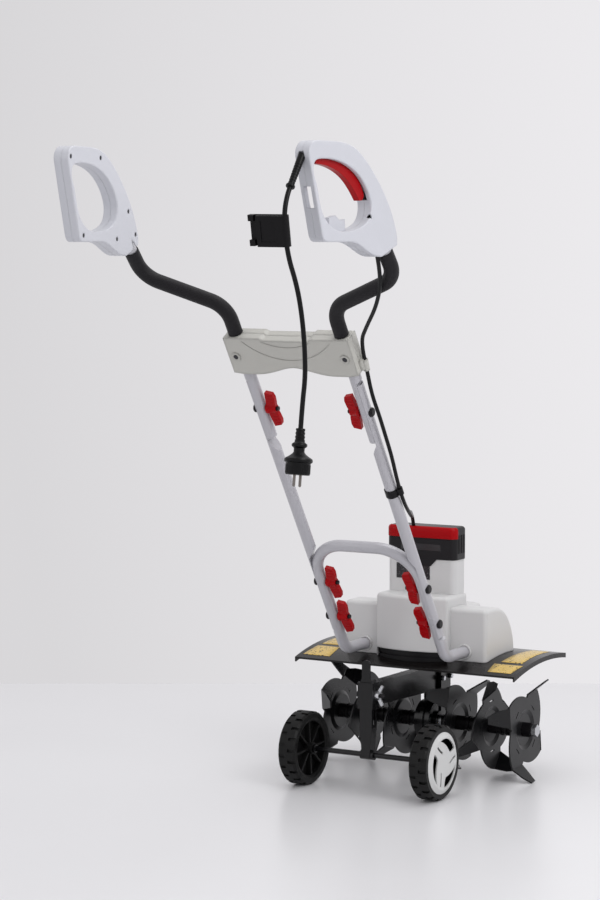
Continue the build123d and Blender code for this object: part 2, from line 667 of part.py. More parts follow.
def wing_knob(side, along):
    """Two-winged clamping knob on the inner end of a joint bolt."""
    gap = 0.4
    tube_face = TUBE_X - TUBE_RADIUS - gap
    outline = make_face(Polyline(
        (tube_face - 3, -9), (tube_face - 7, -37), (tube_face - 23, -33), (tube_face - 19, -6),
        (tube_face - 19, 6), (tube_face - 23, 33), (tube_face - 7, 37), (tube_face - 3, 9), close=True))
    wings = extrude(tube_plane(along) * outline, 4.5, both=True)
    wings = fillet(wings.edges().filter_by(lambda edge: abs(edge.length - 9) < 0.1), 1.5)
    hub_start = lean_point(tube_face, 0, along)
    hub = rod(hub_start, (tube_face - 20, hub_start[1], hub_start[2]), 10)
    knob = wings + hub - cross_bolt_hole(along, BOLT_RADIUS + HINGE_CLEARANCE)
    return knob if side > 0 else mirrored(knob)


# ---- brace and grips ----
def brace_outline():
    """Front view of the brace in the leaning plane."""
    half = 127
    return make_face(
        Polyline((-half, 164), (-half, 90), (-108, 87), (-84, 87))
        + Spline((-84, 87), (0, 103), (84, 87), tangents=((1, 0), (1, 0)))
        + Polyline((84, 87), (108, 87), (half, 90), (half, 164), (52, 164), (46, 160),
                   (-46, 160), (-52, 164), (-half, 164)))


def brace_half(rear):
    """One moulded half of the brace, clamped round both upper tubes."""
    plane = tube_plane()
    depth = 17.0 if rear else 15.0
    half = extrude(plane * brace_outline(), depth if rear else -depth)
    if rear:
        half -= extrude(plane * brace_outline(), 0.2)
        for radius, drop in ((96, 119), (62, 146)):
            low = 164 + (radius ** 2 - (164 - drop) ** 2) / (2 * (164 - drop))
            reach = low - drop
            arc = Pos(0, low) * (Circle(reach) - Circle(reach - 1.6))
            groove = arc & (Pos(0, 130) * Rectangle(2 * radius, 56))
            half -= extrude(plane.offset(depth - 1.0) * groove, 2)
        for side in SIDES:
            boss = Pos(side * 111, 125) * Circle(8.5)
            half += extrude(plane.offset(depth - 1) * boss, 3.2)
            half -= extrude(plane.offset(depth + 0.6) * (Pos(side * 111, 125) * Circle(5)), 5)
    else:
        half += cable_saddle()
    pocket_plane = plane.offset(3) if rear else plane.offset(-12)
    pocket = extrude(pocket_plane * (Pos(0, 130) * Rectangle(160, 36)), 10 if rear else 9)
    half -= pocket
    for side in SIDES:
        low, high = lean_point(side * TUBE_X, 0, 60), lean_point(side * TUBE_X, 0, 200)
        half -= rod(low, high, TUBE_RADIUS + 0.1)
    return half


def cable_saddle():
    """Clip moulded on the brace's right side, round the motor cable."""
    start, end = Vector(*UPPER_CABLE_ROUTE[-2]), Vector(*UPPER_CABLE_ROUTE[-1])
    way = (end - start).normalized()
    clip = rod(start + way * 36, start + way * 58, CABLE_RADIUS + 2.4)
    clip += leaning_block(1, 126, 133, 92, 112) & rod(lean_point(124, 6, 80), lean_point(124, 6, 130), 11)
    clip -= leaning_block(1, 100, 127.0, 60, 140)
    clip += rod(lean_point(122, 7, 98), lean_point(130, 7, 98), 4)
    return clip - rod(start, end + way * 5, CABLE_RADIUS + 0.3)


GRIP_OPENING = [
    (-104, 1146), (-99, 1157), (-84, 1161), (-55, 1161), (-20, 1155), (20, 1137), (45, 1112), (55, 1087),
    (49, 1067), (22, 1052), (-20, 1046), (-52, 1052), (-77, 1072), (-88, 1095), (-97, 1124),
]


def grip_outline():
    """Side view of a grip's outside, with the tube socket at its lower front."""
    return make_face(
        Polyline((-116.4, 1163.0), (-84.2, 1050.0))
        + Spline((-84.2, 1050.0), (-66, 1029), tangents=((0.274, -0.962), (1, 0)))
        + Polyline((-66, 1029), (-8, 1029))
        + Spline((-8, 1029), (38, 1017), (88, 1005), tangents=((1, 0), (1, 0.1)))
        + Polyline((88, 1005), (131, 1024), (131, 1038))
        + Spline((131, 1038), (93, 1109), (36, 1165), (-50, 1190), tangents=((-0.3, 1), (-1, 0)))
        + Polyline((-50, 1190), (-94, 1190))
        + Spline((-94, 1190), (-116.4, 1163.0), tangents=((-1, 0), (0.274, -0.962))))


def grip_opening():
    """Side view of the hand opening."""
    return make_face(Spline(*GRIP_OPENING, periodic=True))


def faceted(face, count, grow):
    """Straight-sided copy of a face, made larger by grow."""
    wire = face.faces()[0].outer_wire()
    points = [wire @ (index / count) for index in range(count)]
    return offset(make_face(Polyline(*points, close=True)), grow, kind=Kind.INTERSECTION)


def trigger_slot():
    """Space that the trigger needs inside the grip."""
    return make_face(Polyline(
        (-95, 1148), (-95, 1180), (-70, 1181), (-20, 1174), (30, 1156), (64, 1124), (60, 1098),
        (30, 1096), (-20, 1110), close=True))


def grip_shell(side, outer):
    """Half of a grip, hollow, split on the grip's middle plane."""
    plane = grip_plane(side)
    out = side if outer else -side
    sign = 1 if out > 0 else -1
    # the plane's Z points to +X on both sides
    shell = extrude(plane * (grip_outline() - grip_opening()), sign * GRIP_HALF_THICKNESS)
    rims = shell.faces().filter_by(lambda face: abs(
        plane.to_local_coords(face.center()).Z - sign * GRIP_HALF_THICKNESS) < 0.01)
    shell = soften(shell, rims, 7)
    hollow = faceted(grip_outline(), 46, -GRIP_WALL - 0.4) - faceted(grip_opening(), 32, GRIP_WALL)
    cavity = extrude(plane * hollow, sign * (GRIP_HALF_THICKNESS - GRIP_WALL))
    for u, v in GRIP_SCREWS:
        cavity -= extrude(plane * (Pos(u, v) * Circle(4.5)), sign * GRIP_HALF_THICKNESS)
    socket_wall = make_face(Polyline((70, 1000), (140, 1000), (140, 1052), (62, 1052), close=True))
    cavity -= extrude(plane * socket_wall, sign * GRIP_HALF_THICKNESS)
    if side > 0:
        slot_walls = make_face(Polyline((-135, 1079), (-50, 1079), (-50, 1121), (-135, 1121), close=True))
        cavity -= extrude(plane * slot_walls, sign * GRIP_HALF_THICKNESS)
    shell -= cavity
    axis_low = Vector(*lean_point(side * 254, -9, 290))
    axis_high = Vector(*grip_point(side, 80.6, 1062))
    way = (axis_high - axis_low).normalized()
    shell -= rod(axis_low, (axis_high + way * 1.0), TUBE_RADIUS + 0.15)
    for u, v in GRIP_SCREWS:
        hole = Pos(u, v) * Circle(1.9)
        shell -= extrude(plane * hole, sign * (10 if outer else 20))
        if not outer:
            sunk = plane.offset(sign * (GRIP_HALF_THICKNESS - 3))
            shell -= extrude(sunk * (Pos(u, v) * Circle(4)), sign * 5)
    if side > 0:
        shell = right_grip_details(shell, plane, sign, outer)
    return shell


def soften(shape, faces, radius):
    """Round the outer rim of a face where the kernel can."""
    for size in (radius, radius * 0.8, radius * 0.5, radius * 0.3):
        try:
            rounded = fillet(faces[0].edges(), size)
            if rounded.is_valid:
                return rounded
        except Exception:
            continue
    print("rim left sharp")
    return shape


def right_grip_details(shell, plane, sign, outer):
    """Trigger slot, cord slot, hook, sleeve seat and cable hole of the right grip."""
    shell -= extrude(plane.offset(-6.6) * trigger_slot(), 13.2)
    slot = Pos(-95, 1100) * Rectangle(70, 34)
    shell -= extrude(plane.offset(-7) * slot, 14)
    boot_start, boot_way = boot_axis()
    low = boot_start - boot_way * 16
    shell -= rod(low, (boot_start + boot_way * 20), BOOT_RADIUS + 0.15)
    cable = Vector(*UPPER_CABLE_ROUTE[0])
    below = Vector(*UPPER_CABLE_ROUTE[1])
    shell -= rod((cable + (cable - below)), below, CABLE_RADIUS + 0.2)
    if not outer:
        hook = make_face(Polyline((-40, 1044), (6, 1044), (4, 1066), (-10, 1064), (-22, 1072), (-40, 1068),
                                  close=True))
        shell += extrude(plane.offset(sign * 3) * hook, sign * 8)
        button = Pos(*LOCK_BUTTON) * Circle(6.3)
        shell -= extrude(plane.offset(sign * 5) * button, sign * 15)
    return shell


def boot_axis():
    """Where the cord sleeve starts in the grip, and the way it points."""
    end = Vector(*LEAD_ROUTE[0])
    way = (Vector(*LEAD_ROUTE[1]) - end).normalized()
    return end - way * BOOT_LENGTH, way


def cord_boot():
    """Ribbed rubber sleeve that keeps the mains lead from kinking at the grip."""
    start, way = boot_axis()
    root = start - way * 12
    end = Vector(*LEAD_ROUTE[0])
    boot = rod(root, (end - way * 4), BOOT_RADIUS)
    boot += rod((end - way * 4), end, BOOT_RADIUS + 1.2)
    for index in range(5):
        place = start + way * (14 + 6 * index)
        boot -= ring(place, (place + way * 2), BOOT_RADIUS + 1, BOOT_RADIUS - 0.8)
    return boot


def trigger():
    """Red lever under the arch of the right grip; its tail turns on a pin in the shells."""
    plane = grip_plane(1)
    outline = make_face(
        Spline((-86, 1153), (-61, 1151), (-35, 1145), (-3, 1130), (19.5, 1111), (33, 1096))
        + Polyline((33, 1096), (41, 1097), (46, 1104))
        + Spline((46, 1104), (18, 1141), (-20, 1160), (-60, 1167))
        + Polyline((-60, 1167), (-76, 1175), (-89, 1175), (-91, 1164), (-86, 1153)))
    lever = extrude(plane.offset(-5.6) * outline, 11.2)
    pin = extrude(plane.offset(-5.6) * (Pos(*TRIGGER_PIVOT) * Circle(2.03)), 11.2)
    return lever - pin


def power_switch():
    """Microswitch in the right grip, in front of the trigger."""
    return extrude(grip_plane(1).offset(-6) * (Pos(70, 1086) * Rectangle(18, 20)), 12)


def trigger_pin():
    return extrude(grip_plane(1).offset(-11.5) * (Pos(*TRIGGER_PIVOT) * Circle(2.0)), 23)


def lock_button():
    """Round safety button on the inner side of the right grip, pressed by the thumb."""
    inner_face = grip_plane(1).offset(-GRIP_HALF_THICKNESS - 4)
    return extrude(inner_face * (Pos(*LOCK_BUTTON) * Circle(6)), 7)


def grip_screws():
    """Screws of both grips and of the brace."""
    screws = []
    for side in SIDES:
        plane = grip_plane(side)
        inward = -side
        for u, v in GRIP_SCREWS:
            shank = extrude(plane.offset(inward * (GRIP_HALF_THICKNESS - 3)) * (Pos(u, v) * Circle(1.8)),
                            -inward * 20)
            head = extrude(plane.offset(inward * (GRIP_HALF_THICKNESS - 3)) * (Pos(u, v) * Circle(3.6)),
                           inward * 2.2)
            screws.append(shank + head)
    for side in SIDES:
        place = Pos(side * 111, 125)
        screws.append(extrude(tube_plane().offset(17.6) * (place * Circle(4.2)), 1.6))
    return Compound(children=screws)


def mains_plug():
    """Rubber two-pin plug hanging on the end of the lead."""
    top = Vector(*LEAD_ROUTE[-1])
    way = (top - Vector(*LEAD_ROUTE[-2])).normalized()
    profile = Polyline(
        (0, 0), (7.5, 0), (8.3, 22), (12.8, 24), (12.8, 29), (8.7, 31), (8.7, 38), (17, 44), (23, 48),
        (23, 53), (20, 56), (20, 74), (0, 74), close=True)
    axis = Plane(origin=top, x_dir=(1, 0, 0), z_dir=way)
    body = revolve(Plane.XZ * make_face(profile), Axis.Z)
    for side in SIDES:
        pin = Pos(0, side * PIN_OFFSET, 74) * extrude(Circle(2.4), 17)
        body += pin + Pos(0, side * PIN_OFFSET, 91) * Sphere(2.4)
    return body.moved(axis.location)


def cord_clip():
    """Folded plastic bracket threaded on the hanging lead, which runs inside its fold."""
    start, end = Vector(*LEAD_ROUTE[1]), Vector(*LEAD_ROUTE[2])
    way = (end - start).normalized()
    middle = start + way * 39
    plane = Plane(origin=middle, x_dir=(1, 0, 0), z_dir=(way * -1))
    inner, outer, half = CORD_RADIUS + 1.4, CORD_RADIUS + 4, 25.0
    fold = extrude(Circle(outer) - Circle(inner), half, both=True)
    fold -= block((-20, 0), (-20, 20), (-30, 30))
    front = block((-48, 0), (-outer, -inner), (-half, half))
    back = block((-66, 0), (inner, outer), (-half, half))
    clip = fold + front + back
    for z in (-half + 5, half - 5):
        clip += block((-66, -56), (inner - 7, inner + 1), (z - 5, z + 5))
        clip += block((-44, -38), (-inner - 1, inner + 1), (z - 2, z + 2))
    clip -= block((-40, -14), (-outer - 1, 1 - outer), (-half + 8, half - 8))
    return clip.moved(plane.location)


# ---- wheels and strut ----
def wheel_arm():
    """Welded arm from the gearbox neck back to the sleeve that holds the strut."""
    front = MOTOR_Y - 26
    side_view = make_face(Polyline((AXLE_Y + 13, 163), (front, 155), (front, 203), (AXLE_Y + 13, 205),
                                   close=True))
    arm = extrude(Plane.YZ * side_view, 12, both=True)
    inner_view = make_face(Polyline((AXLE_Y + 11, 140), (front - 4, 140), (front - 4, 199),
                                    (AXLE_Y + 16, 201), close=True))
    arm -= extrude(Plane.YZ * inner_view, 9, both=True)
    sleeve = block((-16, 16), (AXLE_Y - 13, AXLE_Y + 13), (158, 208))
    sleeve -= block((-13.3, 13.3), (AXLE_Y - 10.3, AXLE_Y + 10.3), (150, 220))
    arm += sleeve
    return arm - along_x(-30, 30, BOLT_RADIUS + 0.1, AXLE_Y, STRUT_BOLT_Z)


def wheel_strut():
    """Slotted upright folded from sheet: a tongue on top, and a tapered foot round the axle."""
    top = 250
    outline = make_face(
        Polyline((8.5, top - 8), (8.5, 216), (13, 206), (13, 122), (8, 66), (-8, 66), (-13, 122),
                 (-13, 206), (-8.5, 216), (-8.5, top - 8))
        + ThreePointArc((-8.5, top - 8), (0, top), (8.5, top - 8)))
    strut = extrude(Plane(origin=(0, AXLE_Y + 10, 0), x_dir=(1, 0, 0), z_dir=(0, -1, 0)) * outline, 20)
    strut += along_x(-14, 14, 9, AXLE_Y, WHEEL_RADIUS)
    strut -= block((-10, 10), (AXLE_Y - 6, AXLE_Y + 20), (108, top + 1))
    slot_low = STRUT_BOLT_Z - STRUT_TRAVEL[1] - BOLT_RADIUS - 1
    slot_high = STRUT_BOLT_Z - STRUT_TRAVEL[0] + BOLT_RADIUS + 1
    reach = BOLT_RADIUS + 0.3
    strut -= block((-20, 20), (AXLE_Y - reach, AXLE_Y + reach), (slot_low, slot_high))
    return strut - along_x(-40, 40, AXLE_RADIUS, AXLE_Y, WHEEL_RADIUS)


def axle():
    bar = along_x(-157, 157, AXLE_RADIUS, AXLE_Y, WHEEL_RADIUS)
    for side in SIDES:
        bar += along_x(side * 113, side * 116, 8, AXLE_Y, WHEEL_RADIUS)
        bar += along_x(side * 154.5, side * 156.5, 8, AXLE_Y, WHEEL_RADIUS)
    return bar


def wheel(side):
    """Moulded wheel with spokes and a chunky tread."""
    half = WHEEL_HALF_WIDTH
    section = make_face(Polyline(
        (5.05, -21), (11, -21), (11, -3), (52, -3), (52, -half + 3), (58, -half), (66, -half),
        (70, -half + 4), (70, half - 4), (66, half), (58, half), (58, half - 4), (52, half - 4), (52, 3),
        (11, 3), (11, 14), (5.05, 14), close=True))
    body = revolve(Plane.XZ * section, Axis.Z)
    for index in range(8):
        body += Rot(Z=45 * index) * block((10, 53), (-2, 2), (-14, -2))
    pitch = 360 / TREAD_LUGS
    for index in range(TREAD_LUGS):
        turn = Rot(Z=pitch * index)
        body -= turn * block((66.4, 75), (-3, 3), (3, 20))
        body -= turn * Rot(Z=pitch / 2) * block((66.4, 75), (-3, 3), (-20, -3))
    placed = Pos(WHEEL_X, AXLE_Y, WHEEL_RADIUS) * Rot(Y=90) * Rot(Z=pitch / 4) * body
    return placed if side > 0 else mirrored(placed)


def polar(radius, angle):
    return radius * cos(radians(angle)), radius * sin(radians(angle))


def hubcap(side):
    """White trim disc with three swirling arms, snapped into the wheel's outer face."""
    under, face = WHEEL_HALF_WIDTH + 1, WHEEL_HALF_WIDTH + 4
    section = make_face(Polyline((0, under), (49, under), (57.5, under - 4), (57.5, under - 1.5),
                                 (50, face - 0.4), (48.5, face), (0, face), close=True))
    disc = revolve(Plane.XZ * section, Axis.Z)
    crescent = make_face(
        ThreePointArc(polar(46, 0), polar(46, 40), polar(46, 80))
        + ThreePointArc(polar(46, 80), polar(34, 52), polar(27, 12))
        + ThreePointArc(polar(27, 12), polar(36, 1), polar(46, 0)))
    slit = make_face(
        ThreePointArc(polar(44, 96), polar(34, 92), polar(22, 76))
        + Line(polar(22, 76), polar(20, 86))
        + ThreePointArc(polar(20, 86), polar(33, 99), polar(44, 102))
        + Line(polar(44, 102), polar(44, 96)))
    for index in range(3):
        for opening in (crescent, slit):
            disc -= Rot(Z=120 * index) * extrude(Pos(0, 0, under - 5) * opening, 12)
    placed = Pos(WHEEL_X, AXLE_Y, WHEEL_RADIUS) * Rot(Y=90) * disc
    return placed if side > 0 else mirrored(placed)


def strut_wing_nut():
    start = 16.4
    nut = along_x(start, start + 9, 8, AXLE_Y, STRUT_BOLT_Z)
    wing = make_face(Polyline((start + 2, 5), (start + 12, 20), (start + 16, 17), (start + 9, 3),
                              close=True))
    for turn in (0, 180):
        plane = Plane(origin=(0, AXLE_Y, STRUT_BOLT_Z), x_dir=(1, 0, 0), z_dir=(0, -1, 0))
        blade = extrude(plane * wing, 2, both=True)
        centre = Pos(0, AXLE_Y, STRUT_BOLT_Z)
        nut += centre * Rot(X=turn) * Pos(0, -AXLE_Y, -STRUT_BOLT_Z) * blade
    return nut - along_x(0, 60, BOLT_RADIUS + HINGE_CLEARANCE, AXLE_Y, STRUT_BOLT_Z)


def tube_clip():
    """Clip that holds the motor cable to the right mid tube."""
    start, end = Vector(*LOWER_CABLE_ROUTE[2]), Vector(*LOWER_CABLE_ROUTE[3])
    way = (end - start).normalized()
    low, high = start + way * 14, start + way * 28
    clip = rod(low, high, CABLE_RADIUS + 2.2)
    tube_low = lean_point(TUBE_X, 0, -185)
    tube_high = lean_point(TUBE_X, 0, -170)
    clip += rod(tube_low, tube_high, TUBE_RADIUS + 2)
    clip += rod(lean_point(TUBE_X, 0, -177), (start + way * 21), 5)
    clip -= rod(lean_point(TUBE_X, 0, -260), lean_point(TUBE_X, 0, -100), TUBE_RADIUS + 0.05)
    return clip - rod((start - way * 9), (end + way * 9), CABLE_RADIUS + 0.1)


# ---- the whole machine ----
def build():
    nodes = {
        "motor_cover": motor_cover(),
        "vent_cap": vent_cap(),
        "accent_band": accent_band(),
        "base_plate": base_plate(),
        "deck": deck(),
        "gearbox_left": gearbox_half(-1),
        "gearbox_right": gearbox_half(1),
        "machine_screws": machine_screws(),
        "stator": stator(),
        "brush_gear": brush_gear(),
        "shaft_bushes": shaft_bushes(),
        "rotor_shaft": rotor_shaft(),
        "rotor_core": rotor_core(),
        "cooling_fan": cooling_fan(),
        "tine_shaft": tine_shaft(),
        "worm_wheel": worm_wheel(),
        "tine_hubs": tine_hubs(),
        "handle_hoop": handle_hoop(),
        "joint_bolts": joint_bolts(),
        "grip_sleeves": grip_sleeves(),
        "brace_rear": brace_half(True),
        "brace_front": brace_half(False),
        "grip_screws": grip_screws(),
        "trigger": trigger(),
        "trigger_pin": trigger_pin(),
        "lock_button": lock_button(),
        "power_switch": power_switch(),
        "cord_boot": cord_boot(),
        "mains_cord": cord_tube("mains lead", LEAD_ROUTE, CORD_RADIUS),
        "cord_clip": cord_clip(),
        "mains_plug": mains_plug(),
        "motor_cable_upper": cord_tube("upper cable", UPPER_CABLE_ROUTE, CABLE_RADIUS),
        "motor_cable_bend": cord_tube("cable bend", BEND_CABLE_ROUTE, CABLE_RADIUS),
        "motor_cable_lower": cord_tube("lower cable", LOWER_CABLE_ROUTE, CABLE_RADIUS),
        "tube_clip": tube_clip(),
        "wheel_arm": wheel_arm(),
        "wheel_strut": wheel_strut(),
        "axle": axle(),
        "strut_wing_nut": strut_wing_nut(),
    }
    disc = tine_disc()
    for index, name in enumerate(("inner", "middle", "outer")):
        pair = [place_disc(disc, side, index) for side in SIDES]
        nodes["tines_" + name] = Compound(children=pair)
    for side, name in zip(SIDES, ("left", "right")):
        nodes["mid_tube_" + name] = mid_tube(side)
        nodes["upper_tube_" + name] = upper_tube(side)
        nodes["grip_outer_" + name] = grip_shell(side, True)
        nodes["grip_inner_" + name] = grip_shell(side, False)
        nodes["wheel_" + name] = wheel(side)
        nodes["hubcap_" + name] = hubcap(side)
        for place, along in zip(("lower", "middle", "upper"), (LOWER_BOLTS[1], LOWER_BOLTS[0], 0.0)):
            nodes["knob_" + name + "_" + place] = wing_knob(side, along)
    return nodes


LEAD_NODES = ("mains_cord", "mains_plug", "cord_clip", "cord_boot")

nodes = build()
boxes = [shape.bounding_box() for name, shape in nodes.items() if name not in LEAD_NODES]
low = [min(tuple(box.min)[axis] for box in boxes) for axis in range(3)]
high = [max(tuple(box.max)[axis] for box in boxes) for axis in range(3)]
ORIGIN = ((low[0] + high[0]) / 2, (low[1] + high[1]) / 2, low[2])
print("origin", ORIGIN, "low", low, "high", high)

os.makedirs("parts", exist_ok=True)
for name, shape in nodes.items():
    placed = shape.moved(Location((-ORIGIN[0], -ORIGIN[1], -ORIGIN[2])))
    export_step(placed, "parts/" + name + ".step")
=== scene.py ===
import bpy
import bmesh
import json
import math
from mathutils import Matrix, Vector


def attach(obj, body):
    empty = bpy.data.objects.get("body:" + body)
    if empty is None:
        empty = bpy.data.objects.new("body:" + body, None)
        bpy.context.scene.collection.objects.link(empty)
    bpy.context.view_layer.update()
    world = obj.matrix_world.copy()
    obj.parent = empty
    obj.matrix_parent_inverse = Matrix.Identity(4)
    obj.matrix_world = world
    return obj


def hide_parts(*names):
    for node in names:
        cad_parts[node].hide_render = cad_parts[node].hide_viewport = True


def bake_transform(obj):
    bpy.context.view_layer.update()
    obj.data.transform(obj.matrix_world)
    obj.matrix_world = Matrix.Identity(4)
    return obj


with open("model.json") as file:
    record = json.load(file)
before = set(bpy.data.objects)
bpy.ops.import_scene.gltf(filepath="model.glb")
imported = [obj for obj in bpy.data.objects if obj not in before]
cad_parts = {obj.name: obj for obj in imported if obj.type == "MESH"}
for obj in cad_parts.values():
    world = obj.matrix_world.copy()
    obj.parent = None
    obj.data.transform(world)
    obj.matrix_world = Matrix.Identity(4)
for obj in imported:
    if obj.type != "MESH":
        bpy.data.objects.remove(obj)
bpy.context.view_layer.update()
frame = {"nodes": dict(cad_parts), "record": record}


# ---------------------------------------------------------------- places
SHIFT_Y = 0.392914               # m, how far the model's origin is behind the tine shaft
LEAN = math.atan2(219, 341)      # the handle tubes' lean from upright
FOLD = (0, -457, 730)            # mm, between the two fold bolts


def at(x, y, z):
    """A point given in millimetres from the ground under the tine shaft."""
    return Vector((x / 1000, y / 1000 + SHIFT_Y, z / 1000))


def lean(x, out, along):
    """A point in the leaning frame of the tubes, whose origin is the fold bolt."""
    y = FOLD[1] - math.sin(LEAN) * along + math.cos(LEAN) * out
    z = FOLD[2] + math.cos(LEAN) * along + math.sin(LEAN) * out
    return at(x, y, z)


# ---------------------------------------------------------------- camera
AZIMUTH, PITCH = math.radians(30.43), math.radians(4.66)

camera = bpy.data.objects.new("camera", bpy.data.cameras.new("camera"))
bpy.context.scene.collection.objects.link(camera)
camera.location = at(2297, -4415, 1031)
aim = Vector((-math.sin(AZIMUTH) * math.cos(PITCH),
              math.cos(AZIMUTH) * math.cos(PITCH),
              -math.sin(PITCH)))
camera.rotation_euler = aim.to_track_quat("-Z", "Y").to_euler()
camera.data.sensor_fit = "VERTICAL"
camera.data.sensor_height = 36
camera.data.lens = 102.64
camera.data.clip_end = 60
bpy.context.scene.camera = camera


# ---------------------------------------------------------------- materials
CLOUD_SCALE = 9.0                # uneven gloss and tone, in cells per metre
DUST_SCALE = 26.0
COAT_ROUGHNESS = 0.12


def node_material(name):
    """A new material with its node tree and its shader."""
    material = bpy.data.materials.new(name)
    material.use_nodes = True
    tree = material.node_tree
    return material, tree, tree.nodes["Principled BSDF"]


def texture(tree, kind, scale, **values):
    """A procedural texture in object coordinates."""
    node = tree.nodes.new(kind)
    for key, value in values.items():
        if hasattr(node, key):
            setattr(node, key, value)
        else:
            node.inputs[key.replace("_", " ").title()].default_value = value
    node.inputs["Scale"].default_value = scale
    coordinates = tree.nodes.get("place") or tree.nodes.new("ShaderNodeTexCoord")
    coordinates.name = "place"
    tree.links.new(coordinates.outputs["Object"], node.inputs["Vector"])
    return node


def ranged(tree, source, low, high, start=0.0, end=1.0):
    """The source's range from start to end, mapped to low and high."""
    node = tree.nodes.new("ShaderNodeMapRange")
    node.inputs["From Min"].default_value = start
    node.inputs["From Max"].default_value = end
    node.inputs["To Min"].default_value = low
    node.inputs["To Max"].default_value = high
    tree.links.new(source, node.inputs["Value"])
    return node.outputs["Result"]


def blended(tree, factor, first, second):
    """Two colours, or two colour sockets, mixed by a factor."""
    node = tree.nodes.new("ShaderNodeMix")
    node.data_type = "RGBA"
    for socket, value in ((node.inputs[6], first), (node.inputs[7], second)):
        if hasattr(value, "links"):
            tree.links.new(value, socket)
        else:
            socket.default_value = (*value, 1)
    tree.links.new(factor, node.inputs[0])
    return node.outputs[2]


def bumped(tree, height, strength, distance, before=None):
    """Bump from a height, on top of the normal before it."""
    node = tree.nodes.new("ShaderNodeBump")
    node.inputs["Strength"].default_value = strength
    node.inputs["Distance"].default_value = distance
    tree.links.new(height, node.inputs["Height"])
    if before is not None:
        tree.links.new(before, node.inputs["Normal"])
    return node.outputs["Normal"]


def soft_edge(tree, radius):
    """Normal that rounds the edges of a solid."""
    node = tree.nodes.new("ShaderNodeBevel")
    node.samples = 4
    node.inputs["Radius"].default_value = radius
    return node.outputs["Normal"]


def surface(name, color, rough, metallic=0.0, grain=900.0, grain_depth=0.00005, tone=0.06,
            dirt=None, coat=0.0, edge=0.0006, rough_spread=0.08, specular=0.5, sheen=0.0):
    """Moulded, painted or rubber surface: fine grain, uneven gloss and tone, a little dust.

    dirt is the dust's colour and its greatest cover; edge is the radius of the softened edges.
    """
    material, tree, shader = node_material(name)
    cloudy = texture(tree, "ShaderNodeTexNoise", CLOUD_SCALE, detail=5.0)
    fine = texture(tree, "ShaderNodeTexNoise", grain, detail=2.0)
    dark = tuple(max(0.0, c * (1 - tone)) for c in color)
    light = tuple(min(1.0, c * (1 + tone)) for c in color)
    base = blended(tree, cloudy.outputs["Fac"], dark, light)
    if dirt is not None:
        dust = texture(tree, "ShaderNodeTexNoise", DUST_SCALE, detail=8.0, roughness=0.7)
        amount = ranged(tree, dust.outputs["Fac"], 0.0, dirt[3], 0.52, 0.78)
        base = blended(tree, amount, base, dirt[:3])
    tree.links.new(base, shader.inputs["Base Color"])
    smoothest, roughest = max(0.02, rough - rough_spread), min(1.0, rough + rough_spread)
    gloss = ranged(tree, cloudy.outputs["Fac"], smoothest, roughest, 0.3, 0.7)
    tree.links.new(gloss, shader.inputs["Roughness"])
    shader.inputs["Metallic"].default_value = metallic
    shader.inputs["Specular IOR Level"].default_value = specular
    shader.inputs["Coat Weight"].default_value = coat
    shader.inputs["Coat Roughness"].default_value = COAT_ROUGHNESS
    shader.inputs["Sheen Weight"].default_value = sheen
    before = soft_edge(tree, edge) if edge else None
    tree.links.new(bumped(tree, fine.outputs["Fac"], 1.0, grain_depth, before), shader.inputs["Normal"])
    return material


